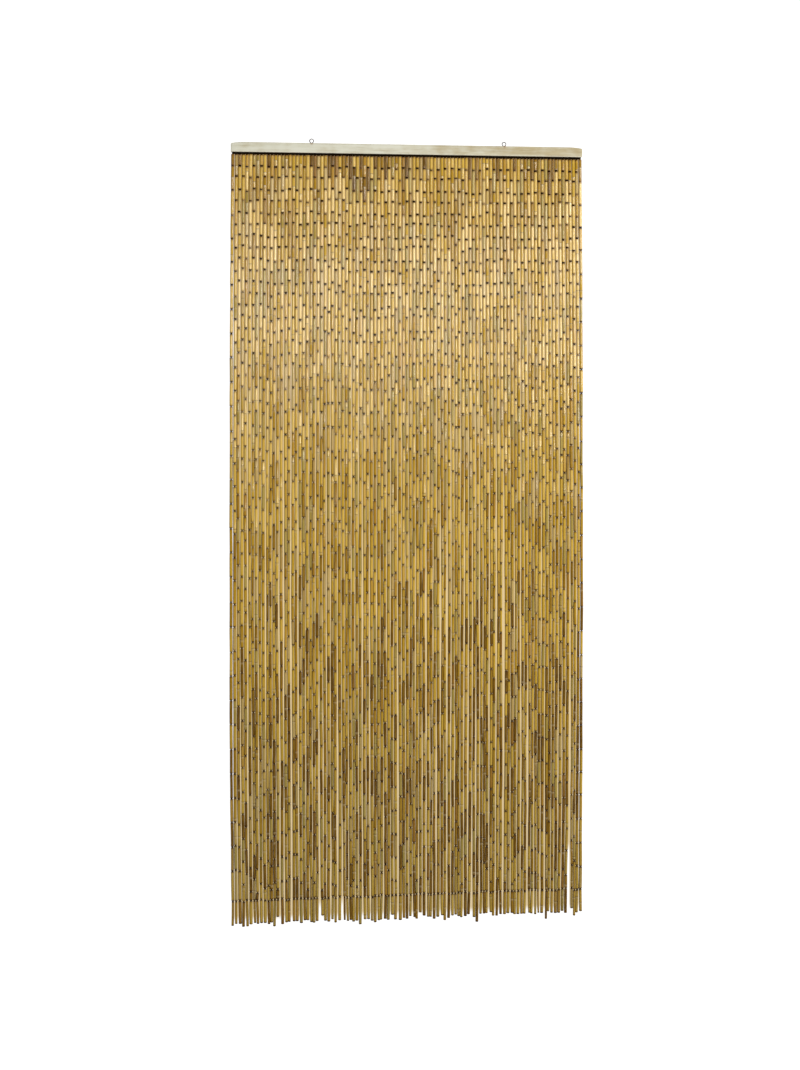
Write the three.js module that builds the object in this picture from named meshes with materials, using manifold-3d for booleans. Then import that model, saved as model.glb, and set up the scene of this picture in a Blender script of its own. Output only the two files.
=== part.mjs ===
// Bamboo door curtain: a limewashed wooden batten with a black rail under it, two screw eyes on top,
// and one hundred strands of short bamboo tubes that hang side by side from the rail.
//
// Millimetres. X runs along the batten, +Z is up and the room is towards -Y. The origin is the centre
// of the batten's back face, which lies against the wall or the door frame.

import * as THREE from "three";
import { mergeVertices } from "three/addons/utils/BufferGeometryUtils.js";
import Module from "manifold-3d";

// Batten: one planed strip of softwood with its edges and corners rubbed round.
const BATTEN_LENGTH = 900;
const BATTEN_DEPTH = 20;
const BATTEN_HEIGHT = 25;
const CORNER_RADIUS = 3;
const EDGE_SOFTENING = 1.2;

// Rail: a black strip let into a groove in the batten's underside. The strands hook on to it.
const RAIL_LENGTH = 894;
const RAIL_DEPTH = 12;
const RAIL_HEIGHT = 8;
const RAIL_SHOWING = 4;

// Screw eyes: a wire ring on a straight shank that is driven into the top of the batten.
const EYE_FROM_MIDDLE = 247;
const EYE_WIRE = 2;
const EYE_HOLE = 8;
const EYE_STAND_OFF = 0.5;
const SHANK_LENGTH = 14;

// Strands: chains of bamboo tubes, each chain one tooth of a comb. The hooks that hold them under the
// rail stand as the comb's thin bar.
const STRAND_COUNT = 100;
const STRAND_PITCH = 9;
const STRAND_WIDTH = 6.5;
const STRAND_SIDES = 6;
const STRAND_END = -1961;
const HOOK_ROW_DEPTH = 8;
const HOOK_ROW_HEIGHT = 2;
const SECTION_DEPTHS = [0, 0.2, 0.4, 0.6, 0.8];

// How unevenly the strands hang. The whole field is widest at mid-height, each strand drifts a little
// sideways on its way down, and the cut ends are ragged.
const FIELD_SPREAD = 0.011;
const SWAY = 1.2;
const END_SCATTER = 4.5;
const SWAY_SEED = 147;
const END_SEED = 9;

// Places where two neighbouring strands stand apart: the strand on the left of the gap, how much wider
// than usual the gap gets, and how far down the curtain (0 top, 1 end) it starts to open.
const WIDE_GAPS = [
  { leftStrand: 13, extraWidth: 2.4, opensAt: 0.2 },
  { leftStrand: 14, extraWidth: 2.0, opensAt: 0.05 },
  { leftStrand: 24, extraWidth: 2.2, opensAt: 0.4 },
  { leftStrand: 29, extraWidth: 2.8, opensAt: 0.5 },
  { leftStrand: 30, extraWidth: 1.6, opensAt: 0.6 },
  { leftStrand: 61, extraWidth: 2.2, opensAt: 0.3 },
  { leftStrand: 67, extraWidth: 2.4, opensAt: 0.7 },
  { leftStrand: 76, extraWidth: 3.8, opensAt: 0.3 },
  { leftStrand: 93, extraWidth: 2.6, opensAt: 0.35 },
  { leftStrand: 95, extraWidth: 4.0, opensAt: 0.3 },
  { leftStrand: 98, extraWidth: 2.0, opensAt: 0.6 },
];
const GAP_REACH = 2.5;
const GAP_OPENING_LENGTH = 0.3;

// Strands whose last tube ends clearly below (+) or above (-) the others.
const ODD_ENDS = [
  { strand: 3, lower: 6 },
  { strand: 4, lower: 6 },
  { strand: 12, lower: 9 },
  { strand: 13, lower: -16 },
  { strand: 25, lower: -15 },
  { strand: 36, lower: 12 },
  { strand: 40, lower: 8 },
  { strand: 45, lower: -10 },
  { strand: 53, lower: -13 },
  { strand: 60, lower: 10 },
  { strand: 69, lower: 16 },
  { strand: 73, lower: -7 },
  { strand: 89, lower: 15 },
  { strand: 96, lower: -8 },
  { strand: 97, lower: 10 },
];

// Clearance that neighbouring pieces keep from each other.
const CLEARANCE = 0.3;

const battenBottom = -BATTEN_HEIGHT / 2;
const battenTop = BATTEN_HEIGHT / 2;
const middleY = -BATTEN_DEPTH / 2;
const railBottom = battenBottom - RAIL_SHOWING;
const hookRowTop = railBottom - CLEARANCE;
const strandTop = hookRowTop - HOOK_ROW_HEIGHT / 2;

const wasm = await Module();
wasm.setup();

// A closed three.js geometry as a solid that can be joined and cut.
function solidOf(geometry) {
  const bare = geometry.clone();
  bare.deleteAttribute("normal");
  bare.deleteAttribute("uv");
  const merged = mergeVertices(bare, 1e-4);
  return new wasm.Manifold(
    new wasm.Mesh({
      numProp: 3,
      vertProperties: new Float32Array(merged.attributes.position.array),
      triVerts: new Uint32Array(merged.index.array),
    }),
  );
}

// The geometry of a joined or cut solid, with its flat faces shaded flat.
function geometryOf(solid) {
  const mesh = solid.getMesh();
  const indexed = new THREE.BufferGeometry();
  indexed.setAttribute("position", new THREE.BufferAttribute(new Float32Array(mesh.vertProperties), 3));
  indexed.setIndex(new THREE.BufferAttribute(new Uint32Array(mesh.triVerts), 1));
  const flat = indexed.toNonIndexed();
  flat.computeVertexNormals();
  return flat;
}

// A box given by its size and the place of its centre.
function boxAt(sizeX, sizeY, sizeZ, x, y, z) {
  return new THREE.BoxGeometry(sizeX, sizeY, sizeZ).translate(x, y, z);
}

// An upright round bar from one height to another.
function uprightBar(radius, sides, x, y, bottom, top) {
  const bar = new THREE.CylinderGeometry(radius, radius, top - bottom, sides);
  bar.rotateX(Math.PI / 2);
  return bar.translate(x, y, (bottom + top) / 2);
}

// A repeatable number between -1 and 1 for a strand and a purpose.
function scatter(strand, purpose) {
  const value = Math.sin(strand * 12.9898 + purpose * 78.233) * 43758.5453;
  return 2 * (value - Math.floor(value)) - 1;
}

// A smooth step from 0 to 1.
function ease(value) {
  const t = Math.min(Math.max(value, 0), 1);
  return t * t * (3 - 2 * t);
}

// The batten: its front outline with round corners, extruded from front to back with softened edges,
// then grooved underneath for the rail and drilled on top for the screw eyes' shanks.
function battenGeometry() {
  const halfLength = BATTEN_LENGTH / 2 - EDGE_SOFTENING;
  const halfHeight = BATTEN_HEIGHT / 2 - EDGE_SOFTENING;
  const radius = CORNER_RADIUS - EDGE_SOFTENING;
  const outline = new THREE.Shape();
  outline.absarc(halfLength - radius, halfHeight - radius, radius, 0, Math.PI / 2);
  outline.absarc(-halfLength + radius, halfHeight - radius, radius, Math.PI / 2, Math.PI);
  outline.absarc(-halfLength + radius, -halfHeight + radius, radius, Math.PI, Math.PI * 1.5);
  outline.absarc(halfLength - radius, -halfHeight + radius, radius, Math.PI * 1.5, Math.PI * 2);
  const body = new THREE.ExtrudeGeometry(outline, {
    depth: BATTEN_DEPTH - 2 * EDGE_SOFTENING,
    bevelSize: EDGE_SOFTENING,
    bevelThickness: EDGE_SOFTENING,
    bevelSegments: 2,
    curveSegments: 4,
  });
  body.translate(0, 0, EDGE_SOFTENING);
  body.rotateX(Math.PI / 2);

  const grooveDepth = RAIL_HEIGHT - RAIL_SHOWING + CLEARANCE;
  const groove = boxAt(
    RAIL_LENGTH + 2 * CLEARANCE,
    RAIL_DEPTH + 2 * CLEARANCE,
    2 * grooveDepth,
    0,
    middleY,
    battenBottom,
  );
  let solid = solidOf(body).subtract(solidOf(groove));
  for (const x of [-EYE_FROM_MIDDLE, EYE_FROM_MIDDLE]) {
    const holeBottom = battenTop - SHANK_LENGTH - CLEARANCE;
    const holeRadius = (EYE_WIRE / 2 + CLEARANCE) / Math.cos(Math.PI / 12);
    solid = solid.subtract(solidOf(uprightBar(holeRadius, 12, x, middleY, holeBottom, battenTop + 1)));
  }
  return geometryOf(solid);
}

// The rail is one straight strip.
function railGeometry() {
  return boxAt(RAIL_LENGTH, RAIL_DEPTH, RAIL_HEIGHT, 0, middleY, railBottom + RAIL_HEIGHT / 2);
}

// A screw eye: the ring faces the room, so a wall hook passes through it from front to back.
function eyeGeometry(x) {
  const ringRadius = (EYE_HOLE + EYE_WIRE) / 2;
  const ringCentre = battenTop + EYE_STAND_OFF + EYE_WIRE / 2 + ringRadius;
  const ring = new THREE.TorusGeometry(ringRadius, EYE_WIRE / 2, 8, 24);
  ring.rotateX(Math.PI / 2);
  ring.translate(x, middleY, ringCentre);
  const shankTop = ringCentre - ringRadius;
  const shank = uprightBar(EYE_WIRE / 2, 12, x, middleY, battenTop - SHANK_LENGTH, shankTop);
  return geometryOf(solidOf(ring).add(solidOf(shank)));
}

// Where a strand's centre line is, at a depth down the curtain from 0 at the rail to 1 at the end.
function strandX(strand, depth) {
  const even = (strand - (STRAND_COUNT - 1) / 2) * STRAND_PITCH;
  const spread = even * FIELD_SPREAD * Math.sin(Math.PI * depth);
  const sway = SWAY * scatter(strand, SWAY_SEED + Math.round(depth * 5)) * ease(depth * 1.5);
  let pushed = 0;
  for (const gap of WIDE_GAPS) {
    const away = strand - gap.leftStrand - 0.5;
    const reach = Math.exp(-(Math.abs(away) - 0.5) / GAP_REACH);
    const opening = ease((depth - gap.opensAt) / GAP_OPENING_LENGTH);
    pushed += (Math.sign(away) * gap.extraWidth * reach * opening) / 2;
  }
  return even + spread + sway + pushed;
}

// How low a strand hangs.
function strandEnd(strand) {
  const odd = ODD_ENDS.find((row) => row.strand === strand);
  return STRAND_END - (odd ? odd.lower : END_SCATTER * scatter(strand, END_SEED));
}

// One strand: a six-sided bar through its sections, closed at both ends.
function strandGeometry(strand) {
  const end = strandEnd(strand);
  const sections = SECTION_DEPTHS.map((depth) => ({
    x: strandX(strand, depth),
    z: strandTop + depth * (STRAND_END - strandTop),
  }));
  sections.push({ x: strandX(strand, 1), z: end });
  const positions = [];
  for (const section of sections) {
    for (let side = 0; side < STRAND_SIDES; side += 1) {
      const angle = (side / STRAND_SIDES) * Math.PI * 2;
      positions.push(section.x + (Math.cos(angle) * STRAND_WIDTH) / 2);
      positions.push(middleY + (Math.sin(angle) * STRAND_WIDTH) / 2);
      positions.push(section.z);
    }
  }
  const faces = [];
  for (let level = 0; level < sections.length - 1; level += 1) {
    for (let side = 0; side < STRAND_SIDES; side += 1) {
      const here = level * STRAND_SIDES + side;
      const next = level * STRAND_SIDES + ((side + 1) % STRAND_SIDES);
      faces.push(here, here + STRAND_SIDES, next);
      faces.push(next, here + STRAND_SIDES, next + STRAND_SIDES);
    }
  }
  const lastRing = (sections.length - 1) * STRAND_SIDES;
  for (let side = 1; side < STRAND_SIDES - 1; side += 1) {
    faces.push(0, side, side + 1);
    faces.push(lastRing, lastRing + side + 1, lastRing + side);
  }
  const geometry = new THREE.BufferGeometry();
  geometry.setAttribute("position", new THREE.Float32BufferAttribute(positions, 3));
  geometry.setIndex(faces);
  return geometry;
}

// The comb: every strand joined to the thin bar of hooks above them.
function combGeometry() {
  const halfField = ((STRAND_COUNT - 1) * STRAND_PITCH + STRAND_WIDTH) / 2;
  const hookRow = boxAt(
    2 * halfField,
    HOOK_ROW_DEPTH,
    HOOK_ROW_HEIGHT,
    0,
    middleY,
    hookRowTop - HOOK_ROW_HEIGHT / 2,
  );
  let solid = solidOf(hookRow);
  for (let strand = 0; strand < STRAND_COUNT; strand += 1) {
    solid = solid.add(solidOf(strandGeometry(strand)));
  }
  return geometryOf(solid);
}

function named(name, geometry, color, roughness, metalness) {
  const mesh = new THREE.Mesh(
    geometry,
    new THREE.MeshStandardMaterial({ color: new THREE.Color(color), roughness, metalness }),
  );
  mesh.name = name;
  return mesh;
}

const curtain = new THREE.Group();
curtain.name = "bamboo_door_curtain";
curtain.add(named("header_batten", battenGeometry(), "#d9d5bf", 0.7, 0));
curtain.add(named("hanging_rail", railGeometry(), "#1d1912", 0.5, 0));
curtain.add(named("screw_eye_left", eyeGeometry(-EYE_FROM_MIDDLE), "#8d8a82", 0.35, 0.9));
curtain.add(named("screw_eye_right", eyeGeometry(EYE_FROM_MIDDLE), "#8d8a82", 0.35, 0.9));
curtain.add(named("strand_comb", combGeometry(), "#b08f4e", 0.45, 0));

export default curtain;
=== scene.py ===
import bpy
import numpy as np
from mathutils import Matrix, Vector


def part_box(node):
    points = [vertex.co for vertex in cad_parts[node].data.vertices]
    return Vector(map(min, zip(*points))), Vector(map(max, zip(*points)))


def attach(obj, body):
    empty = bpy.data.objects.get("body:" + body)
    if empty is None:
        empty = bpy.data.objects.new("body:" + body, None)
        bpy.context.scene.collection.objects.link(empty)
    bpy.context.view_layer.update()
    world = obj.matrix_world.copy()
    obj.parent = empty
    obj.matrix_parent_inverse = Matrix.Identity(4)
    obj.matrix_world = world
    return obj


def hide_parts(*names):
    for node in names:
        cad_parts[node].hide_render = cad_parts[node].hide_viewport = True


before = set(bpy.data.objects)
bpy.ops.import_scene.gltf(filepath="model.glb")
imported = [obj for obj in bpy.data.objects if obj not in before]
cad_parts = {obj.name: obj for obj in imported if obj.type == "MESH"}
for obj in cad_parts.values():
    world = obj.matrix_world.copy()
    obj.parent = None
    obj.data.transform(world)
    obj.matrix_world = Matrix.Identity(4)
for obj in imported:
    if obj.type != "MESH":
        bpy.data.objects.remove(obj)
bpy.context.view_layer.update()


# Header batten: a planed softwood strip, 900 mm long. Its edges and corners are rubbed round and the
# whole strip has one thin coat of cream limewash, which lets the honey-coloured grain through and has
# worn off most towards the right end.


class Wire:
    """One value on its way through a finish. Sums and products of wires add Math nodes."""

    def __init__(self, finish, socket):
        self.finish = finish
        self.socket = socket

    def math(self, operation, *values):
        """The Math node of that operation on this value and the others, in order."""
        inputs = dict(enumerate(values))
        return self.finish.node("Math", {"operation": operation}, inputs)

    def __add__(self, other):
        return self.math("ADD", self, other)

    def __radd__(self, other):
        return self.math("ADD", other, self)

    def __sub__(self, other):
        return self.math("SUBTRACT", self, other)

    def __rsub__(self, other):
        return self.math("SUBTRACT", other, self)

    def __mul__(self, other):
        return self.math("MULTIPLY", self, other)

    def __rmul__(self, other):
        return self.math("MULTIPLY", other, self)

    def __abs__(self):
        return self.math("ABSOLUTE", self)

    def low(self, other):
        """The lower of the two values."""
        return self.math("MINIMUM", self, other)

    def step(self, start, end):
        """A smooth step from 0 at start to 1 at end."""
        settings = {"interpolation_type": "SMOOTHSTEP"}
        inputs = {"Value": self, "From Min": start, "From Max": end}
        return self.finish.node("MapRange", settings, inputs)


class Finish:
    """One material, built node by node on a Principled shader."""

    def __init__(self, name):
        self.material = bpy.data.materials.new(name)
        self.material.use_nodes = True
        self.tree = self.material.node_tree
        self.tree.nodes.clear()
        self.place = self.node("TexCoord", output="Object")

    def node(self, kind, settings=None, inputs=None, output=0):
        """A new node. Its settings are set first, then its sockets get values or links."""
        made = self.tree.nodes.new("ShaderNode" + kind)
        for name, value in (settings or {}).items():
            if name == "stops":
                self.set_stops(made.color_ramp, value)
            else:
                setattr(made, name, value)
        for name, value in (inputs or {}).items():
            if isinstance(value, Wire):
                self.tree.links.new(value.socket, made.inputs[name])
            else:
                made.inputs[name].default_value = value
        return Wire(self, made.outputs[output])

    def set_stops(self, ramp, stops):
        """Gives a colour ramp its stops, each a position and a colour."""
        while len(ramp.elements) < len(stops):
            ramp.elements.new(1.0)
        for element, (position, colour) in zip(ramp.elements, stops):
            element.position = position
            element.color = (*colour, 1.0)

    def stretched(self, along, across, height):
        """The place on the piece, scaled by its own number along each axis."""
        scale = (along, across, height)
        return self.node("VectorMath", {"operation": "MULTIPLY"}, {0: self.place, 1: scale})

    def axis(self, vector, letter):
        """One number of a vector: its X, Y or Z."""
        return self.node("SeparateXYZ", None, {"Vector": vector}, output=letter)

    def noise(self, vector, detail, seed, roughness=0.5):
        """Fractal noise between 0 and 1."""
        settings = {"noise_dimensions": "4D"}
        inputs = {"Vector": vector, "W": seed, "Scale": 1.0, "Detail": detail, "Roughness": roughness}
        return self.node("TexNoise", settings, inputs)

    def blend(self, first, second, share):
        """The first colour with a share of the second laid over it."""
        return self.node("Mix", {"data_type": "RGBA"}, {0: share, 6: first, 7: second}, output=2)

    def relief(self, height, strength, distance):
        """The surface direction of a height pattern, for the shader's Normal."""
        inputs = {"Height": height, "Strength": strength, "Distance": distance}
        return self.node("Bump", None, inputs)

    def close(self, **inputs):
        """Adds the Principled shader with those inputs, and the output."""
        named = {name.replace("_", " "): value for name, value in inputs.items()}
        shader = self.node("BsdfPrincipled", None, named)
        self.node_out(shader)
        return self.material

    def node_out(self, shader):
        """Links a shader to the material's output."""
        end = self.tree.nodes.new("ShaderNodeOutputMaterial")
        self.tree.links.new(shader.socket, end.inputs["Surface"])


def rgb(red, green, blue):
    """A colour as the four numbers that a colour socket takes."""
    return (red, green, blue, 1.0)


def skins(rings):
    """Faces of closed skins over rings of points, shaped (copies, rings, sides, 3). Each wall face
    joins two neighbouring points of a ring to the same two of the next, and the first and last ring
    are closed by one face. Faces point outwards where a ring turns counterclockwise seen from the
    rings that follow it."""
    copies, stations, sides = rings.shape[:3]
    number = np.arange(copies * stations * sides).reshape(copies, stations, sides)
    beside = np.roll(number, -1, axis=2)
    walls = np.stack([number[:, :-1], beside[:, :-1], beside[:, 1:], number[:, 1:]], axis=-1)
    return walls.reshape(-1, 4), number[:, 0, ::-1], number[:, -1]


def make_piece(name, rings, material, sharp_angle):
    """One mesh object at the origin from rings of points, smooth up to the sharp angle in degrees."""
    faces = skins(rings)
    corners = np.concatenate([part.ravel() for part in faces])
    sizes = np.concatenate([np.full(len(part), part.shape[1]) for part in faces])
    mesh = bpy.data.meshes.new(name)
    mesh.vertices.add(rings.size // 3)
    mesh.vertices.foreach_set("co", rings.astype(np.float32).ravel())
    mesh.loops.add(len(corners))
    mesh.loops.foreach_set("vertex_index", corners.astype(np.int32))
    mesh.polygons.add(len(sizes))
    mesh.polygons.foreach_set("loop_start", (np.cumsum(sizes) - sizes).astype(np.int32))
    mesh.update(calc_edges=True)
    mesh.polygons.foreach_set("use_smooth", np.ones(len(sizes), bool))
    mesh.set_sharp_from_angle(angle=np.radians(sharp_angle))
    mesh.materials.append(material)
    piece = bpy.data.objects.new(name, mesh)
    bpy.context.scene.collection.objects.link(piece)
    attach(piece, "root")
    return piece


def rounded_bar(low, high, radius, steps, inner_stations):
    """Rings of a bar along X between two corners. The section is a rectangle whose corners are quarter
    circles of the radius. Towards each end the section draws in and the end advances along another
    quarter circle: inset = r (1 - cos t), advance = r sin t."""
    turn = np.linspace(0, np.pi / 2, steps + 1)
    draw_in = radius * (1 - np.cos(turn))
    advance = radius * np.sin(turn)
    inner = np.linspace(low[0] + radius, high[0] - radius, inner_stations)[1:-1]
    x = np.concatenate([low[0] + radius - advance[::-1], inner, high[0] - radius + advance])
    inset = np.concatenate([draw_in[::-1], np.zeros(len(inner)), draw_in])
    angle = (np.arange(4)[:, None] * np.pi / 2 + turn).ravel()
    corner_y = np.repeat([high[1] - radius, low[1] + radius, low[1] + radius, high[1] - radius], steps + 1)
    corner_z = np.repeat([high[2] - radius, high[2] - radius, low[2] + radius, low[2] + radius], steps + 1)
    reach = np.maximum(radius - inset, 0.02 * radius)[:, None]
    y = corner_y + reach * np.cos(angle)
    z = corner_z + reach * np.sin(angle)
    return np.stack([np.broadcast_to(x[:, None], y.shape), y, z], axis=-1)[None]


def limewash():
    """Cream limewash over honey-coloured softwood: long grain, thin spots, rust round the eyes, and a
    painted highlight along the lower edge.
    """
    finish = Finish("limewashed_softwood")
    wood_grain = finish.noise(finish.stretched(14, 420, 420), 4, 1.0)
    fine_grain = finish.noise(finish.stretched(45, 1900, 1900), 3, 2.0)
    brushing = finish.noise(finish.stretched(9, 240, 240), 3, 3.0)
    patches = finish.noise(finish.stretched(30, 55, 55), 4, 4.0)
    wood = finish.node(
        "ValToRGB",
        {"stops": [(0.3, (0.27, 0.20, 0.09)), (0.5, (0.38, 0.31, 0.16)), (0.7, (0.46, 0.40, 0.24))]},
        {"Fac": wood_grain * 0.7 + fine_grain * 0.3},
    )
    across = finish.axis(finish.place, "X")
    height = finish.axis(finish.place, "Z")
    worn = across.step(-0.2, 0.45) * 0.45
    coat = (patches * 0.5 + brushing * 0.35 + fine_grain * 0.3 - worn * 0.5).step(0.22, 0.66)
    cream = finish.blend(rgb(0.54, 0.55, 0.44), rgb(0.70, 0.70, 0.60), brushing * 0.6 + patches * 0.4)
    colour = finish.blend(wood, cream, coat * (0.93 - worn * 0.55))
    # A pale band along the batten's lower edge: a painted highlight.
    edge = height.step(-0.0098, -0.0118)
    colour = finish.blend(colour, rgb(0.76, 0.74, 0.63), edge * 0.6)
    from_eye = abs(abs(across) - EYE_FROM_MIDDLE)
    stain = (from_eye + 0.0025 * wood_grain).step(0.0065, 0.0018) * height.step(0.004, 0.013)
    colour = finish.blend(colour, rgb(0.23, 0.11, 0.04), stain * 0.7)
    height_map = wood_grain * 0.5 + fine_grain * 0.5
    return finish.close(
        Base_Color=colour,
        Roughness=0.5 + 0.2 * fine_grain + 0.1 * coat,
        Normal=finish.relief(height_map, 0.5, 0.0006),
    )


MM = 0.001
EYE_FROM_MIDDLE = 247 * MM
BATTEN_ROUND = 2.2 * MM
END_WEAR_LENGTH = 34 * MM
END_WEAR_DEPTH = 3.2 * MM
batten_low, batten_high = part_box("header_batten")
batten_rings = rounded_bar(batten_low, batten_high, BATTEN_ROUND, steps=4, inner_stations=90)
# The top edge is worn down towards both ends, by the square of how far into the worn length it is.
into_wear = (abs(batten_rings[..., 0]) - batten_high[0] + END_WEAR_LENGTH) / END_WEAR_LENGTH
into_wear = np.clip(into_wear, 0, 1)
batten_rings[..., 2] -= END_WEAR_DEPTH * into_wear**2 * (batten_rings[..., 2] > 0)
batten = make_piece("batten", batten_rings, limewash(), sharp_angle=40)
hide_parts("header_batten")


# Hanging rail: a black strip let into the batten's underside. Only its lowest 4 mm show, as the dark
# line that the strands hang from.


def black_strip():
    """Black paint, slightly dull, with fine drag marks along the strip and a little dust."""
    finish = Finish("black_strip")
    drag = finish.noise(finish.stretched(30, 1500, 1500), 3, 5.0)
    dust = finish.noise(finish.stretched(120, 120, 120), 4, 6.0)
    colour = finish.blend(rgb(0.006, 0.003, 0.0005), rgb(0.016, 0.009, 0.003), dust.step(0.55, 0.8))
    return finish.close(
        Base_Color=colour,
        Roughness=0.7 + 0.2 * drag,
        Specular_IOR_Level=0.02,
        Normal=finish.relief(drag, 0.3, 0.0002),
    )


RAIL_ROUND = 0.8 * MM
rail_low, rail_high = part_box("hanging_rail")
rail_rings = rounded_bar(rail_low, rail_high, RAIL_ROUND, steps=3, inner_stations=40)
rail = make_piece("rail", rail_rings, black_strip(), sharp_angle=40)
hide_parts("hanging_rail")


# Screw eyes: dark iron wire, 2 mm thick. Each is bent into a ring that all but closes on its own
# straight shank, which is driven into the top of the batten.

EYE_WIRE_RADIUS = 1.0 * MM
EYE_RING_RADIUS = 5.0 * MM
EYE_CENTRE_Z = 19.0 * MM
EYE_SIDES = 12
RING_START, RING_END = -66, 254
RING_STATIONS = 60
SHANK_FOOT_Z = -1.5 * MM
SHANK_STATIONS = 14
BEND_LENGTH = 0.6 * MM

middle_y = (batten_low[1] + batten_high[1]) / 2


def swept(path, flat_side, radius, sides):
    """Rings of a round wire along paths shaped (copies, stations, 3) that each lie in a plane square
    to flat_side: point = path + r (cos a B + sin a T x B), with B the flat side and T the tangent."""
    tangent = np.gradient(path, axis=1)
    tangent /= np.linalg.norm(tangent, axis=-1, keepdims=True)
    binormal = np.broadcast_to(flat_side[:, None], path.shape)
    normal = np.cross(tangent, binormal)
    angle = (np.arange(sides) + 0.5) / sides * 2 * np.pi
    circle = binormal[:, :, None] * np.cos(angle)[:, None] + normal[:, :, None] * np.sin(angle)[:, None]
    return path[:, :, None] + radius * circle


def eye_path(x):
    """The wire's centre line: up the shank, round a short bend, and along a circle in X and Z from
    just past its foot to just before it. The corners are rounded by averaging neighbours."""
    shank_top_z = EYE_CENTRE_Z - EYE_RING_RADIUS - BEND_LENGTH
    shank_z = np.linspace(SHANK_FOOT_Z, shank_top_z, SHANK_STATIONS)
    turn = np.radians(np.linspace(RING_START, RING_END, RING_STATIONS))
    ring_x = EYE_RING_RADIUS * np.cos(turn)
    ring_z = EYE_CENTRE_Z + EYE_RING_RADIUS * np.sin(turn)
    line_x = np.concatenate([np.zeros(SHANK_STATIONS), ring_x])
    line_z = np.concatenate([shank_z, ring_z])
    for _ in range(3):
        line_x[1:-1] = (line_x[:-2] + 2 * line_x[1:-1] + line_x[2:]) / 4
        line_z[1:-1] = (line_z[:-2] + 2 * line_z[1:-1] + line_z[2:]) / 4
    return np.stack([x + line_x, np.full(len(line_x), middle_y), line_z], axis=-1)[None]


def iron_wire(name, rusted):
    """Dark annealed iron wire: nearly black, with lighter rubbed spots and rust-brown ones, which
    cover more of it the more it is rusted."""
    finish = Finish(name)
    rubbed = finish.noise(finish.stretched(700, 700, 700), 3, 7.0)
    rust = finish.noise(finish.stretched(260, 260, 260), 3, 8.0)
    colour = finish.blend(rgb(0.024, 0.014, 0.007), rgb(0.09, 0.07, 0.04), rubbed.step(0.55, 0.78))
    rust = (rust + rusted).step(0.5, 0.68)
    colour = finish.blend(colour, rgb(0.05, 0.018, 0.004), rust)
    return finish.close(
        Base_Color=colour,
        Metallic=0.5 - 0.4 * rust,
        Roughness=0.48 + 0.25 * rust,
        Specular_IOR_Level=0.15,
    )


iron = iron_wire("iron_wire", rusted=0.0)
for side, x in (("left", -EYE_FROM_MIDDLE), ("right", EYE_FROM_MIDDLE)):
    eye_rings = swept(eye_path(x), np.array([[0.0, -1.0, 0.0]]), EYE_WIRE_RADIUS, EYE_SIDES)
    eye = make_piece(f"screw_eye_wire_{side}", eye_rings, iron, sharp_angle=40)
    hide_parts(f"screw_eye_{side}")


# Bamboo tubes: thin cane cut into lengths of about 58 mm. Each strand is a chain of them, hung from
# the rail. Every other strand starts with a half-length tube, so that the joints of neighbours
# don't line up, and all the strands have one joint in line a little above their cut ends.

STRANDS = 100
STRAND_PITCH = 9 * MM
ROD_SIDES = 6
ROD_ENDS_BELOW_Z = -1.9
RODS_BELOW_Z = -0.1
LONGEST_CHAIN = 34
JOINT_PITCH = 60.3 * MM
PITCH_SCATTER = 1.7 * MM
STRAND_PITCH_SCATTER = 0.35 * MM
TOP_PITCH = 58.8 * MM
TOP_TUBES = 5
FIRST_JOINT_BELOW_RAIL = (32 * MM, 58.5 * MM)
FIRST_JOINT_SCATTER = 1.6 * MM
LAST_JOINT_Z = -1902 * MM
LAST_JOINT_SCATTER = 1.2 * MM
SHORTEST_FILLER = 19 * MM
HOOK_BELOW_RAIL = 1.0 * MM
JOINT_SHIFT = 0.25 * MM
JOINT_GAP_TOP = 0.55 * MM
JOINT_GAP_BOTTOM = 2.2 * MM
HALF_GAP_SCATTER = (-0.1 * MM, 0.25 * MM)
TUBE_ACROSS_TOP = 8.5 * MM
TUBE_ACROSS_BOTTOM = 8.0 * MM
TUBE_SCATTER = 0.33 * MM
TUBE_CLEARANCE = 0.12 * MM
STAGGER_TOP = 0.4 * MM
STAGGER_BOTTOM = 1.3 * MM
STAGGER_SLACK = 0.5 * MM
STRAND_SHIFT = 0.25 * MM
CROWD = 13
LOOSE_SHARE = 0.22
LOOSE_GAP = (0.8 * MM, 2.2 * MM)
END_SHIFT = 0.8 * MM
END_SHIFT_LIMIT = 1.5 * MM
END_DEPTH_SHIFT = 0.6 * MM
# Three pairs of neighbours part towards their cut ends, where a gap stays open between them: the
# strand left of the gap, the height it opens from, and its width.
OPEN_GAPS = ((24, -1.875, 4.6 * MM), (30, -1.87, 5.5 * MM), (95, -1.75, 5.4 * MM))
GAP_OPENS_OVER = 120 * MM
GAP_FADES_OVER = 3
BORE_SHARE = 0.7
BORE_FLOOR_SHARE = BORE_SHARE * 0.94
BORE_DEPTH = 3.0 * MM
WITH_NODE_SHARE = 0.28
NODE_HALF_LENGTH = 1.6 * MM
NODE_SWELL = 1.08
DEEPEST_BOW = 0.35 * MM
DARKEST_TONE = 0.08
TUBE_SIDES = 8
TUBE_STATIONS = 9
STRANDS_PER_PIECE = 10

rail_bottom = rail_low[2]
rng = np.random.default_rng(1906)


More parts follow.
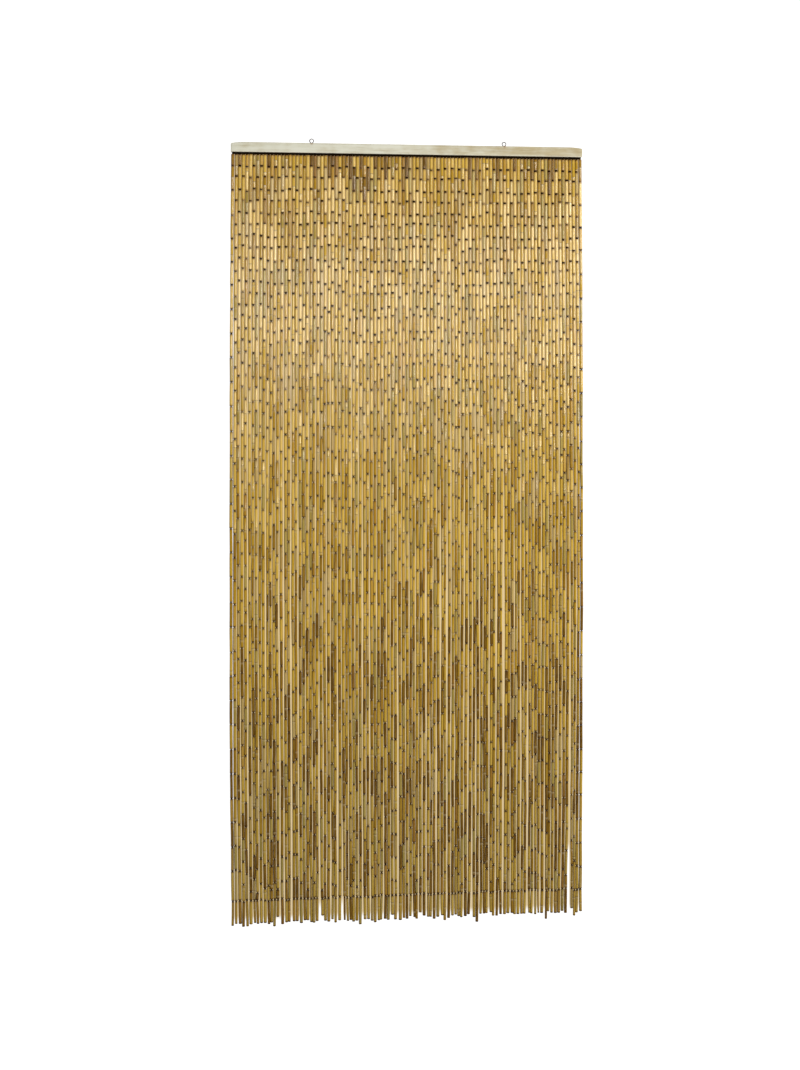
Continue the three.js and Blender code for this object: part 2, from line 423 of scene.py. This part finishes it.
def comb_lines():
    """Heights and centre lines of the strands, and the heights of their cut ends, read from the comb
    that stands for them: at each of its sections the unique corners, sorted by x, fall into one
    group of six for each strand, and a centre is a group's mean."""
    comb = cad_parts["strand_comb"].data.vertices
    corner = np.empty(len(comb) * 3)
    comb.foreach_get("co", corner)
    corner = np.unique(corner.reshape(-1, 3).round(5), axis=0)
    end = corner[corner[:, 2] < ROD_ENDS_BELOW_Z].reshape(STRANDS, ROD_SIDES, 3)
    inner = corner[(corner[:, 2] > ROD_ENDS_BELOW_Z) & (corner[:, 2] < RODS_BELOW_Z)]
    levels = np.unique(inner[:, 2])[::-1]
    groups = [inner[inner[:, 2] == z].reshape(STRANDS, ROD_SIDES, 3) for z in levels]
    sections = [group[..., 0].mean(1) for group in groups]
    top = (np.arange(STRANDS) - (STRANDS - 1) / 2) * STRAND_PITCH
    heights = np.concatenate([[rail_bottom], levels, [end[..., 2].mean()]])
    return heights, np.stack([top, *sections, end[..., 0].mean(1)], axis=1), end[..., 2].mean(1)


line_z, line_x, strand_end_z = comb_lines()


def crowding():
    """How far each strand stands aside at the bottom. Strands crowd against each other and leave a
    loose gap here and there: shift = sum of the gaps up to it - their running mean over 13 strands."""
    loose = rng.uniform(0, 1, STRANDS) < LOOSE_SHARE
    gap = np.where(loose, rng.uniform(*LOOSE_GAP, STRANDS), 0)
    shift = np.cumsum(gap - gap.mean())
    shift += rng.normal(0, STRAND_SHIFT, STRANDS)
    padded = np.pad(shift, CROWD // 2, mode="edge")
    return shift - np.convolve(padded, np.ones(CROWD) / CROWD, mode="valid")


# The strands start to crowd a sixth of the way down and stand fully aside from the middle on.
line_depth = (rail_bottom - line_z) / (rail_bottom - line_z[-1])
line_x += crowding()[:, None] * np.clip(2.5 * line_depth - 0.4, 0, 1)
line_x[:, 1:] += rng.normal(0, STRAND_SHIFT, (STRANDS, 1))


def strand_x(z):
    """Where each strand's centre line is at heights z, one row for each strand: straight between the
    comb's sections."""
    below = np.clip(np.searchsorted(-line_z, -z) - 1, 0, len(line_z) - 2)
    share = (line_z[below] - z) / (line_z[below] - line_z[below + 1])
    row = np.arange(STRANDS)[:, None]
    return line_x[row, below] * (1 - share) + line_x[row, below + 1] * share


def joint_heights():
    """Heights of the joints, one row for each strand: the rail's hook, the first joint, then one each
    pitch down to the last joint, which is in line across the curtain. Unused places repeat it."""
    first = rail_bottom - np.tile(FIRST_JOINT_BELOW_RAIL, STRANDS // 2)
    first = first + rng.normal(0, FIRST_JOINT_SCATTER, STRANDS)
    pitch = JOINT_PITCH + rng.normal(0, PITCH_SCATTER, (STRANDS, LONGEST_CHAIN - 2))
    pitch += rng.normal(0, STRAND_PITCH_SCATTER, (STRANDS, 1))
    pitch[:, :TOP_TUBES] += TOP_PITCH - JOINT_PITCH
    inner = first[:, None] - np.cumsum(pitch, axis=1)
    hook = np.full(STRANDS, rail_bottom - HOOK_BELOW_RAIL)
    heights = np.column_stack([hook, first, inner])
    last = LAST_JOINT_Z + rng.normal(0, LAST_JOINT_SCATTER, (STRANDS, 1))
    return np.where(heights > last + SHORTEST_FILLER, heights, last)


joint_z = joint_heights()
joint_x = strand_x(joint_z) + rng.normal(0, JOINT_SHIFT, joint_z.shape)
depth = (rail_bottom - joint_z) / (rail_bottom - LAST_JOINT_Z)
stagger = STAGGER_TOP + (STAGGER_BOTTOM - STAGGER_TOP) * depth
front_or_back = (1 - 2 * (np.arange(STRANDS) % 2))[:, None]
joint_y = middle_y + front_or_back * stagger + rng.normal(0, JOINT_SHIFT, joint_z.shape)
joint_x[:, 0] = strand_x(joint_z)[:, 0]
is_joint = np.diff(joint_z, axis=1, prepend=0) < -1 * MM
is_joint[:, 0] = True

half_gap = (JOINT_GAP_TOP + (JOINT_GAP_BOTTOM - JOINT_GAP_TOP) * depth) / 2
half_gap = half_gap + rng.uniform(*HALF_GAP_SCATTER, half_gap.shape)
joint = np.stack([joint_x, joint_y, joint_z], axis=-1)

# A tube hangs from each joint to the next one below it, and the last tube to the strand's cut end.
tube_top = joint - half_gap[..., None] * [0, 0, 1]
tube_foot = np.concatenate([joint[:, 1:] + half_gap[:, 1:, None] * [0, 0, 1], joint[:, -1:]], axis=1)
last_tube = np.argmax(joint_z <= LAST_JOINT_Z + SHORTEST_FILLER / 2, axis=1)
row = np.arange(STRANDS)
sideways = np.clip(rng.normal(0, END_SHIFT, STRANDS), -END_SHIFT_LIMIT, END_SHIFT_LIMIT)
end_y = middle_y + front_or_back[:, 0] * STAGGER_BOTTOM + rng.normal(0, END_DEPTH_SHIFT, STRANDS)
tube_foot[row, last_tube] = np.stack([line_x[:, -1] + sideways, end_y, strand_end_z], axis=-1)
is_tube = is_joint & (np.arange(LONGEST_CHAIN) <= last_tube[:, None])

# The tubes all but fill the room between their neighbours, which hang alternately a little to the
# front and to the back, and no tube is thicker than that room. The cane itself gets thinner from
# three tenths of the way down.
tube_middle_x = (tube_top[..., 0] + tube_foot[..., 0]) / 2
centre_x = strand_x((tube_top[..., 2] + tube_foot[..., 2]) / 2)
room = np.pad(np.diff(centre_x, axis=0), ((1, 1), (0, 0)), constant_values=1.0)
room = np.minimum(room[:-1], room[1:]) - 2 * abs(tube_middle_x - centre_x)
room = np.hypot(room, 2 * stagger - STAGGER_SLACK) - TUBE_CLEARANCE
thinner = np.clip((depth - 0.3) / 0.6, 0, 1)
across = TUBE_ACROSS_TOP + (TUBE_ACROSS_BOTTOM - TUBE_ACROSS_TOP) * thinner
across = across + rng.normal(0, TUBE_SCATTER, room.shape)
across = across + rng.normal(0, TUBE_SCATTER, (STRANDS, 1))
tube_radius = np.minimum(across, room) / 2


def parted(z, strand):
    """How far a point of a strand stands aside of the open gaps: half the gap's width times the share
    of its opening, which grows below its start, fading over three strands to each side."""
    aside = np.zeros(np.broadcast_shapes(z.shape, strand.shape))
    for left, start, width in OPEN_GAPS:
        from_gap = strand - left - 0.5
        fade = np.clip(1 - (abs(from_gap) - 0.5) / GAP_FADES_OVER, 0, 1)
        opening = np.clip((start - z) / GAP_OPENS_OVER, 0, 1)
        aside += np.sign(from_gap) * fade * width / 2 * opening
    return aside


tube_top[..., 0] += parted(tube_top[..., 2], row[:, None])
tube_foot[..., 0] += parted(tube_foot[..., 2], row[:, None])
joint[..., 0] += parted(joint[..., 2], row[:, None])

# A tube's tone is 0 for smoked brown and 1 for straw. Most tubes are pale and a few are dark, more of
# them close under the rail and low down, and the lower half is darker as a whole. The tubes just
# under the rail are darker still, a painted shadow of the batten.
tone_range = 0.56 + 0.40 * np.clip(1 - 6 * depth, 0, 1) + 0.20 * np.clip(1.6 * depth - 0.5, 0, 1)
tone = 1 - tone_range * rng.uniform(0, 1, joint_z.shape) ** 1.6
# The lower half is darker as a whole; just under the rail the tubes get a painted shadow of the batten.
tone = tone - 0.40 * np.clip(1.9 * depth - 0.4, 0, 1) - 0.15 * np.clip(1 - 30 * depth, 0, 1)
tone = np.maximum(tone, DARKEST_TONE)
tint = rng.uniform(0, 1, joint_z.shape)
seed = rng.uniform(0, 1, joint_z.shape)
has_node = rng.uniform(0, 1, joint_z.shape) < WITH_NODE_SHARE
node_share = rng.uniform(0.15, 0.85, joint_z.shape)
bow_angle = rng.uniform(0, 2 * np.pi, joint_z.shape)
bow_size = rng.uniform(0, DEEPEST_BOW, joint_z.shape)


def tube_stations(length, node_share, has_node):
    """Height above its foot, and share of its radius, of each of a tube's nine rings: bore floor, bore
    rim and outer rim of the foot, three along the wall, and the same at its top in reverse. The
    middle three stand close together at a node, where the cane swells, or far apart."""
    node = length * node_share
    low = np.where(has_node, node - NODE_HALF_LENGTH, length * 0.25)
    middle = np.where(has_node, node, length * 0.5)
    high = np.where(has_node, node + NODE_HALF_LENGTH, length * 0.75)
    zero = np.zeros_like(length)
    height = [zero + BORE_DEPTH, zero, zero, low, middle, high, length, length, length - BORE_DEPTH]
    swell = np.where(has_node, NODE_SWELL, 1.0)
    bore_floor, bore_rim, skin = zero + BORE_FLOOR_SHARE, zero + BORE_SHARE, zero + 1
    share = [bore_floor, bore_rim, skin, skin, swell, skin, skin, bore_rim, bore_floor]
    return np.stack(height, axis=-1), np.stack(share, axis=-1)


def tube_rings(chosen):
    """Rings of the chosen tubes: centre = foot + (top - foot) t + bow 4 t (1 - t), and around it a
    circle of the tube's radius times the ring's share."""
    foot, top = tube_foot[chosen], tube_top[chosen]
    length = top[:, 2] - foot[:, 2]
    height, share = tube_stations(length, node_share[chosen], has_node[chosen])
    t = (height / length[:, None])[..., None]
    bow = np.stack([np.cos(bow_angle[chosen]), np.sin(bow_angle[chosen]), 0 * length], axis=-1)
    bow = bow * bow_size[chosen][:, None]
    centre = foot[:, None] + (top - foot)[:, None] * t + bow[:, None] * 4 * t * (1 - t)
    angle = np.arange(TUBE_SIDES) / TUBE_SIDES * 2 * np.pi + 6.28 * seed[chosen][:, None]
    circle = np.stack([np.cos(angle), np.sin(angle), 0 * angle], axis=-1)
    radius = tube_radius[chosen][:, None] * share
    return centre[:, :, None] + circle[:, None] * radius[..., None, None], height, length


def tag_points(piece, name, values):
    """Gives each point of a piece three numbers, for its finish to read."""
    tag = piece.data.attributes.new(name, "FLOAT_VECTOR", "POINT")
    tag.data.foreach_set("vector", values.astype(np.float32).ravel())


def unwrap(piece, copies, stations, sides, cell, columns, rows, bands):
    """Lays each copy's walls flat in its own cell of the map: u is the share of the way round, inside
    margins of 6 %, v the band of the ring. Its two end faces become small rounds in the cell's
    lowest and highest strip."""
    column, line = cell
    u = np.array([0, 1, 1, 0]) + np.arange(sides)[:, None]
    u = np.broadcast_to(0.06 + 0.88 * u / sides, (stations - 1, sides, 4))
    v = np.stack([bands[:-1], bands[:-1], bands[1:], bands[1:]], axis=-1)[:, None]
    v = np.broadcast_to(v, (stations - 1, sides, 4))
    angle = np.arange(sides) / sides * 2 * np.pi
    round_u, round_v = 0.5 + 0.4 * np.cos(angle), 0.4 * (1 + np.sin(angle)) * bands[0]
    wall = np.stack([u, v], axis=-1).reshape(1, -1, 2)
    start = np.stack([round_u, round_v], axis=-1)[None, ::-1]
    end = np.stack([round_u, bands[-1] + round_v], axis=-1)[None]
    corner = np.stack([column, line], axis=-1)[:, None]
    parts = [(corner + part).reshape(-1, 2) / [columns, rows] for part in (wall, start, end)]
    layer = piece.data.uv_layers.new(name="OFBake")
    layer.uv.foreach_set("vector", np.concatenate(parts).astype(np.float32).ravel())


def cane():
    """Thin bamboo cane. A tube's tone runs from smoked brown to straw and its tint turns it towards
    orange, olive or grey. Fine fibres and soft blotches run along it, and a node is a dark line with a
    pale bloom below it. Painted shade darkens its sides, its ends (with a scorched cut edge), its lower
    end faces and its bore."""
    finish = Finish("bamboo_cane")
    kind = finish.node("Attribute", {"attribute_name": "cane"}, output="Vector")
    run = finish.node("Attribute", {"attribute_name": "run"}, output="Vector")
    tone = finish.axis(kind, "X")
    tint = finish.axis(kind, "Y")
    seed = finish.axis(kind, "Z")
    along = finish.axis(run, "X")
    length = finish.axis(run, "Y")
    node = finish.axis(run, "Z")
    own = seed * 60
    fibre = finish.noise(finish.stretched(2600, 2600, 55), 3, own, 0.6)
    blotch = finish.noise(finish.stretched(420, 420, 45), 3, own)
    cloud = finish.noise(finish.stretched(160, 160, 160), 2, own)
    shade = tone + 0.34 * (blotch - 0.5) + 0.22 * (fibre - 0.5)
    colour = finish.node(
        "ValToRGB",
        {
            "stops": [
                (0.00, (0.055, 0.025, 0.002)),
                (0.07, (0.14, 0.070, 0.005)),
                (0.18, (0.26, 0.138, 0.006)),
                (0.36, (0.38, 0.220, 0.012)),
                (0.60, (0.50, 0.314, 0.032)),
                (0.82, (0.60, 0.398, 0.072)),
                (1.00, (0.72, 0.520, 0.190)),
            ]
        },
        {"Fac": shade},
    )
    colour = finish.blend(colour, rgb(0.40, 0.20, 0.035), tint.step(0.88, 0.98) * 0.35)
    pale = shade.step(0.1, 0.5)
    colour = finish.blend(colour, rgb(0.24, 0.20, 0.060), tint.step(0.20, 0.05) * pale * 0.6)
    colour = finish.blend(colour, rgb(0.36, 0.28, 0.15), abs(tint - 0.5).step(0.08, 0.03) * pale * 0.5)
    smoked = (cloud * 0.5 + fibre * 0.5).step(0.6, 0.78)
    colour = finish.blend(colour, rgb(0.13, 0.065, 0.018), smoked * 0.55)
    height = finish.axis(finish.place, "Z")
    green = height.step(-1.1, -1.95) * shade.step(0.05, 0.45)
    colour = finish.blend(colour, rgb(0.22, 0.185, 0.065), green * 0.34)
    # Painted shade: the tube's sides, where its surface turns sideways, are darkened, less so higher up.
    facing = finish.axis(finish.node("TexCoord", output="Normal"), "X")
    high_up = height.step(-1.15, -0.45)
    side = abs(facing).step(0.55, 0.95) * (0.45 - 0.22 * high_up)
    colour = finish.blend(colour, rgb(0.10, 0.045, 0.006), side)
    from_node = along - node
    ring = abs(from_node).step(0.0011, 0.0004)
    bloom = from_node.step(-0.008, -0.001) * from_node.step(0.0, -0.001)
    colour = finish.blend(colour, rgb(0.55, 0.45, 0.25), bloom * 0.35)
    colour = finish.blend(colour, rgb(0.10, 0.055, 0.018), ring * 0.7)
    to_top = length - along
    to_end = along.low(to_top)
    uneven = 0.0012 * (blotch - 0.5)
    # The ends darken: partly a scorched cut edge, partly painted shade in the joints. This dark ring and
    # the brown halo around it are painted stronger higher up, as shade.
    scorch_and_joint_shade = (along + uneven).step(0.0033, 0.0018) + (to_top + uneven).step(0.0023, 0.0010)
    scorch_and_joint_shade = scorch_and_joint_shade * (0.75 + 0.25 * high_up) * (0.4 + seed.step(0.15, 0.4) * 0.6)
    halo = (to_end + uneven).step(0.0062, 0.0024) * (0.5 + 0.5 * high_up)
    colour = finish.blend(colour, rgb(0.16, 0.045, 0.000), halo * 0.4)
    colour = finish.blend(colour, rgb(0.026, 0.006, 0.0), scorch_and_joint_shade)
    # End faces: the upper ones pale cut cane, the lower ones painted near-black as the shade under each
    # tube.
    cut_face_and_shade = finish.blend(rgb(0.030, 0.014, 0.004), rgb(0.55, 0.42, 0.20), to_top.step(0.02, 0.01))
    colour = finish.blend(colour, cut_face_and_shade, to_end.step(0.0, -0.0003))
    # Down inside the bore: painted near-black as shade.
    colour = finish.blend(colour, rgb(0.012, 0.007, 0.003), to_end.step(-0.0009, -0.0013))
    return finish.close(
        Base_Color=colour,
        Metallic=scorch_and_joint_shade,
        Roughness=0.17 + 0.06 * fibre + 0.7 * scorch_and_joint_shade,
        Specular_IOR_Level=0.35,
        Normal=finish.relief(fibre * 0.6 + blotch * 0.4, 0.35, 0.0003),
    )


cane_finish = cane()
TUBE_BANDS = np.array([0.06, 0.10, 0.14, 0.34, 0.50, 0.66, 0.86, 0.90, 0.94])
# The finish tells skin, rim and bore by how far past the tube's ends a ring is said to be.
PAST_END = np.array([-3, -1, 0, 0, 0, 0, 0, 1, 3]) * MM
NO_NODE = -9
for first in range(0, STRANDS, STRANDS_PER_PIECE):
    chosen = is_tube & (row[:, None] >= first) & (row[:, None] < first + STRANDS_PER_PIECE)
    strand, link = np.nonzero(chosen)
    rings, height, length = tube_rings(chosen)
    name = f"bamboo_strands_{first // STRANDS_PER_PIECE + 1:02d}"
    tubes = make_piece(name, rings, cane_finish, sharp_angle=50)
    along = np.where(PAST_END != 0, PAST_END + length[:, None] * (PAST_END > 0), height)
    node = np.where(has_node, node_share, NO_NODE)[chosen] * length
    spread = (len(length), TUBE_STATIONS, TUBE_SIDES)
    cane_tag = np.stack([tone[chosen], tint[chosen], seed[chosen]], axis=-1)[:, None, None]
    run_tag = np.stack(np.broadcast_arrays(along, length[:, None], node[:, None]), axis=-1)[:, :, None]
    tag_points(tubes, "cane", np.broadcast_to(cane_tag, (*spread, 3)))
    tag_points(tubes, "run", np.broadcast_to(run_tag, (*spread, 3)))
    unwrap(tubes, *spread, (link, strand - first), LONGEST_CHAIN, STRANDS_PER_PIECE, TUBE_BANDS)
    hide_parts("strand_comb")


# Wire links: thin iron wire runs through each tube and ends in an eye at both ends. The eyes of
# neighbouring tubes hook into each other, and the highest hook into staples under the rail.

LINK_WIRE_RADIUS = 0.75 * MM
WIDEST_BEND = 1.7 * MM
LEG_PAST_BORE = 0.2 * MM
LINK_SIDES = 4
STRANDS_PER_LINKS = 20


def link_paths(centre, half_gap, tube_radius, turned, upward):
    """Hairpin bends in the upright plane of each one's turn: two straight legs, which fit the bore,
    joined by half a circle. The bends that hook into each other touch at the joint's centre."""
    radius = np.minimum(WIDEST_BEND, BORE_SHARE * tube_radius - LINK_WIRE_RADIUS)[:, None]
    bend = np.linspace(np.pi, 0, 5)
    side = np.concatenate([[-1], np.cos(bend), [1]]) * radius
    rise = np.concatenate([[0], np.sin(bend), [0]]) * radius
    rise = rise + LINK_WIRE_RADIUS - radius
    rise[:, [0, -1]] = -half_gap[:, None] - BORE_DEPTH - LEG_PAST_BORE
    direction = np.stack([np.cos(turned), np.sin(turned), 0 * turned], axis=-1)
    path = centre[:, None] + direction[:, None] * side[..., None]
    path[..., 2] += rise * upward
    flat_side = np.stack([np.sin(turned), -np.cos(turned), 0 * turned], axis=-1)
    return path, flat_side


turned = rng.uniform(0, np.pi, joint_z.shape)
radius_above = np.concatenate([tube_radius[:, :1], tube_radius[:, :-1]], axis=1)
LINK_BANDS = np.array([0.12, 0.3, 0.4, 0.5, 0.6, 0.7, 0.88])
rusted_iron = iron_wire("rusted_wire", rusted=0.12)
for first in range(0, STRANDS, STRANDS_PER_LINKS):
    chosen = is_tube & (row[:, None] >= first) & (row[:, None] < first + STRANDS_PER_LINKS)
    strand, link = np.nonzero(chosen)
    place = joint[chosen], half_gap[chosen]
    rising = link_paths(*place, tube_radius[chosen], turned[chosen], 1)
    hanging = link_paths(*place, radius_above[chosen], turned[chosen] + np.pi / 2, -1)
    path, flat_side = (np.concatenate(pair) for pair in zip(rising, hanging))
    rings = swept(path, flat_side, LINK_WIRE_RADIUS, LINK_SIDES)
    name = f"wire_links_{first // STRANDS_PER_LINKS + 1}"
    links = make_piece(name, rings, rusted_iron, sharp_angle=60)
    column = np.concatenate([link, link])
    line = np.concatenate([2 * (strand - first), 2 * (strand - first) + 1])
    spread = (len(path), len(LINK_BANDS), LINK_SIDES)
    unwrap(links, *spread, (column, line), LONGEST_CHAIN, 2 * STRANDS_PER_LINKS, LINK_BANDS)


# Studio: a pale floor, a white wall just behind the batten that curves into it, and a round pale screen
# that closes the room far off. The wall shows only from the room's side, so that the back can be
# looked at too. It only shows, and a plain sheet behind it throws the light back on to the strands.

FLOOR_Z = -2.15
FLOOR_HALF_WIDTH = 8.0
WALL_Y = 4 * MM
WALL_TOP_Z = 1.6
WALL_HALF_WIDTH = 4.0
COVE_RADIUS = 0.12
COVE_ABOVE_FLOOR = 1 * MM
BOUNCE_BEHIND_WALL = 2 * MM
SCREEN_RADIUS = 7.8
SCREEN_HEIGHT = 9.0
CAMERA_PLACE = (-0.3415, -3.493, -0.585)
# The strands' field on the wall: its middle, and where its sides, foot and top start and end to fade.
FIELD_MIDDLE_X = 1.4 * MM
FIELD_SIDE = (450 * MM, 440 * MM)
FIELD_FOOT = (-1962 * MM, -1944 * MM)
FIELD_TOP = (-10.5 * MM, -15.5 * MM)


def stage_sheet(name, profile, half_width, material):
    """A sheet carried along X from a profile in Y and Z."""
    points = np.array([[[x, y, z] for y, z in profile] for x in (-half_width, half_width)])
    return stage_grid(name, points, material)


def stage_grid(name, points, material):
    """A sheet between two rows of points."""
    count = points.shape[1]
    here = np.arange(count - 1)
    faces = np.stack([here, here + 1, here + 1 + count, here + count], axis=-1)
    mesh = bpy.data.meshes.new(name)
    mesh.from_pydata(points.reshape(-1, 3).tolist(), [], faces.tolist())
    mesh.polygons.foreach_set("use_smooth", np.ones(len(faces), bool))
    mesh.materials.append(material)
    sheet = bpy.data.objects.new(name, mesh)
    bpy.context.scene.collection.objects.link(sheet)
    return sheet


def seen_on_wall(x, z):
    """Where the line of sight past a point of the strands meets the wall."""
    share = (WALL_Y - CAMERA_PLACE[1]) / (middle_y - CAMERA_PLACE[1])
    return CAMERA_PLACE[0] + (x - CAMERA_PLACE[0]) * share, CAMERA_PLACE[2] + (z - CAMERA_PLACE[2]) * share


def wall_paint():
    """Glowing white, clear from behind. In the strands' field it has the warm tone of a wall in their
    shade, pale at eye height and brown close under the rail, but it stays white in the open gaps."""
    finish = Finish("studio_wall")
    x = finish.axis(finish.place, "X")
    z = finish.axis(finish.place, "Z")
    behind = abs(x - FIELD_MIDDLE_X).step(*FIELD_SIDE) * z.step(*FIELD_FOOT) * z.step(*FIELD_TOP)
    for left, start, _ in OPEN_GAPS:
        gap_x, gap_z = seen_on_wall((left - STRANDS / 2 + 1) * STRAND_PITCH, start)
        opened = z.step(gap_z - 30 * MM, gap_z - 60 * MM)
        behind = behind * (1 - abs(x - gap_x).step(5 * MM, 3 * MM) * opened)
    warm = finish.blend(rgb(0.66, 0.52, 0.30), rgb(0.74, 0.56, 0.28), z.step(-1.9, -1.2))
    warm = finish.blend(warm, rgb(0.76, 0.60, 0.37), z.step(-0.9, -0.4))
    warm = finish.blend(warm, rgb(0.50, 0.32, 0.12), z.step(-0.42, -0.10))
    glow = finish.blend(rgb(1.0, 1.0, 1.0), warm, behind)
    paint = finish.node(
        "BsdfPrincipled",
        None,
        {
            "Base Color": rgb(0.15, 0.15, 0.15),
            "Roughness": 1.0,
            "Specular IOR Level": 0.0,
            "Emission Color": glow,
            "Emission Strength": 1.0,
        },
    )
    clear = finish.node("BsdfTransparent")
    back = finish.node("NewGeometry", output="Backfacing")
    finish.node_out(finish.node("MixShader", None, {0: back, 1: paint, 2: clear}))
    finish.material.cycles.emission_sampling = "NONE"
    return finish.material


def floor_paint():
    """Matt pale grey-white."""
    finish = Finish("studio_floor")
    finish.material.cycles.emission_sampling = "NONE"
    return finish.close(
        Base_Color=rgb(0.6, 0.6, 0.6),
        Roughness=0.9,
        Specular_IOR_Level=0.2,
        Emission_Color=rgb(0.75, 0.75, 0.75),
        Emission_Strength=1.0,
    )


def even_paint(name, glow):
    """An even glow of one colour, clear from behind."""
    finish = Finish(name)
    paint = finish.node("Emission", None, {"Color": glow})
    clear = finish.node("BsdfTransparent")
    back = finish.node("NewGeometry", output="Backfacing")
    finish.node_out(finish.node("MixShader", None, {0: back, 1: paint, 2: clear}))
    finish.material.cycles.emission_sampling = "NONE"
    return finish.material


bend = np.linspace(0, np.pi / 2, 9)
cove_y = WALL_Y - COVE_RADIUS + COVE_RADIUS * np.sin(bend)
cove_z = FLOOR_Z + COVE_ABOVE_FLOOR + COVE_RADIUS - COVE_RADIUS * np.cos(bend)
wall_profile = [*zip(cove_y, cove_z), (WALL_Y, WALL_TOP_Z)]
studio_wall = stage_sheet("studio_wall", wall_profile[::-1], WALL_HALF_WIDTH, wall_paint())

bounce_y = WALL_Y + BOUNCE_BEHIND_WALL
bounce_profile = [(bounce_y, WALL_TOP_Z), (bounce_y, FLOOR_Z)]
bounce_paint = even_paint("wall_bounce", rgb(0.95, 0.88, 0.74))
bounce = stage_sheet("wall_bounce", bounce_profile, WALL_HALF_WIDTH, bounce_paint)
bounce.visible_camera = False

floor_profile = [(FLOOR_HALF_WIDTH, FLOOR_Z), (-FLOOR_HALF_WIDTH, FLOOR_Z)]
studio_floor = stage_sheet("studio_floor", floor_profile, FLOOR_HALF_WIDTH, floor_paint())

around = np.linspace(2 * np.pi, 0, 49)
ring = [SCREEN_RADIUS * np.cos(around), SCREEN_RADIUS * np.sin(around), 0 * around + FLOOR_Z]
screen_foot = np.stack(ring, axis=-1)
screen_points = np.stack([screen_foot, screen_foot + [0, 0, SCREEN_HEIGHT]])
screen_paint = even_paint("studio_screen", rgb(0.9, 0.9, 0.9))
studio_screen = stage_grid("studio_screen", screen_points, screen_paint)
for sheet in (studio_wall, studio_floor, studio_screen):
    sheet.visible_diffuse = False
    sheet.visible_glossy = False
    sheet.visible_shadow = False


# Light: a dim white surround and three wide windows, all at the height whose reflection is the pale
# band across the upper strands: one near the camera, one far round to the right, and a weak wide one
# on the left.

# Each window's name, bearing from straight ahead in degrees, width and watts.
WINDOWS = (("near", 14, 1.7, 128), ("far", 60, 1.3, 125), ("left", -50, 3.0, 25))
WINDOW_AWAY = 4.5
WINDOW_Z = -0.09
WINDOW_HEIGHT = 1.05
WINDOW_AIM_Z = -0.6


def window_light(name, place, target, width, height, watts):
    """A soft rectangular light at a place, turned to a target: its pitch is the angle of the line to
    the target above the floor, its yaw that line's bearing."""
    lamp = bpy.data.lights.new(name, "AREA")
    lamp.shape = "RECTANGLE"
    lamp.size = width
    lamp.size_y = height
    lamp.energy = watts
    lamp.color = (1.0, 0.98, 0.96)
    holder = bpy.data.objects.new(name, lamp)
    direction = np.array(target, float) - np.array(place, float)
    pitch = np.arctan2(direction[2], np.hypot(direction[0], direction[1]))
    yaw = np.arctan2(-direction[0], direction[1])
    holder.rotation_euler = (np.pi / 2 + pitch, 0, yaw)
    holder.location = place
    holder.visible_camera = False
    bpy.context.scene.collection.objects.link(holder)


for name, bearing, width, watts in WINDOWS:
    turn = np.radians(bearing)
    place = (WINDOW_AWAY * np.sin(turn), -WINDOW_AWAY * np.cos(turn), WINDOW_Z)
    target = (0, 0, WINDOW_AIM_Z)
    window_light(f"window_{name}", place, target, width, WINDOW_HEIGHT, watts)

world = bpy.data.worlds.new("surround")
world.use_nodes = True
sky = world.node_tree.nodes["Background"]
sky.inputs["Color"].default_value = rgb(1.0, 0.99, 0.97)
sky.inputs["Strength"].default_value = 0.20
bpy.context.scene.world = world
bpy.context.scene.view_settings.view_transform = "Standard"


# Camera: level, at the height of the curtain's upper third and a little to its left, and turned
# slightly to the right, so that the strands stand upright and the whole curtain is in view.

lens = bpy.data.cameras.new("camera")
lens.sensor_width = 36.0
lens.lens = 46.08
lens.shift_x = -0.0079
lens.shift_y = -0.1458
camera = bpy.data.objects.new("camera", lens)
camera.location = CAMERA_PLACE
camera.rotation_euler = (np.pi / 2, 0, np.radians(-5.6))
bpy.context.scene.collection.objects.link(camera)
bpy.context.scene.camera = camera
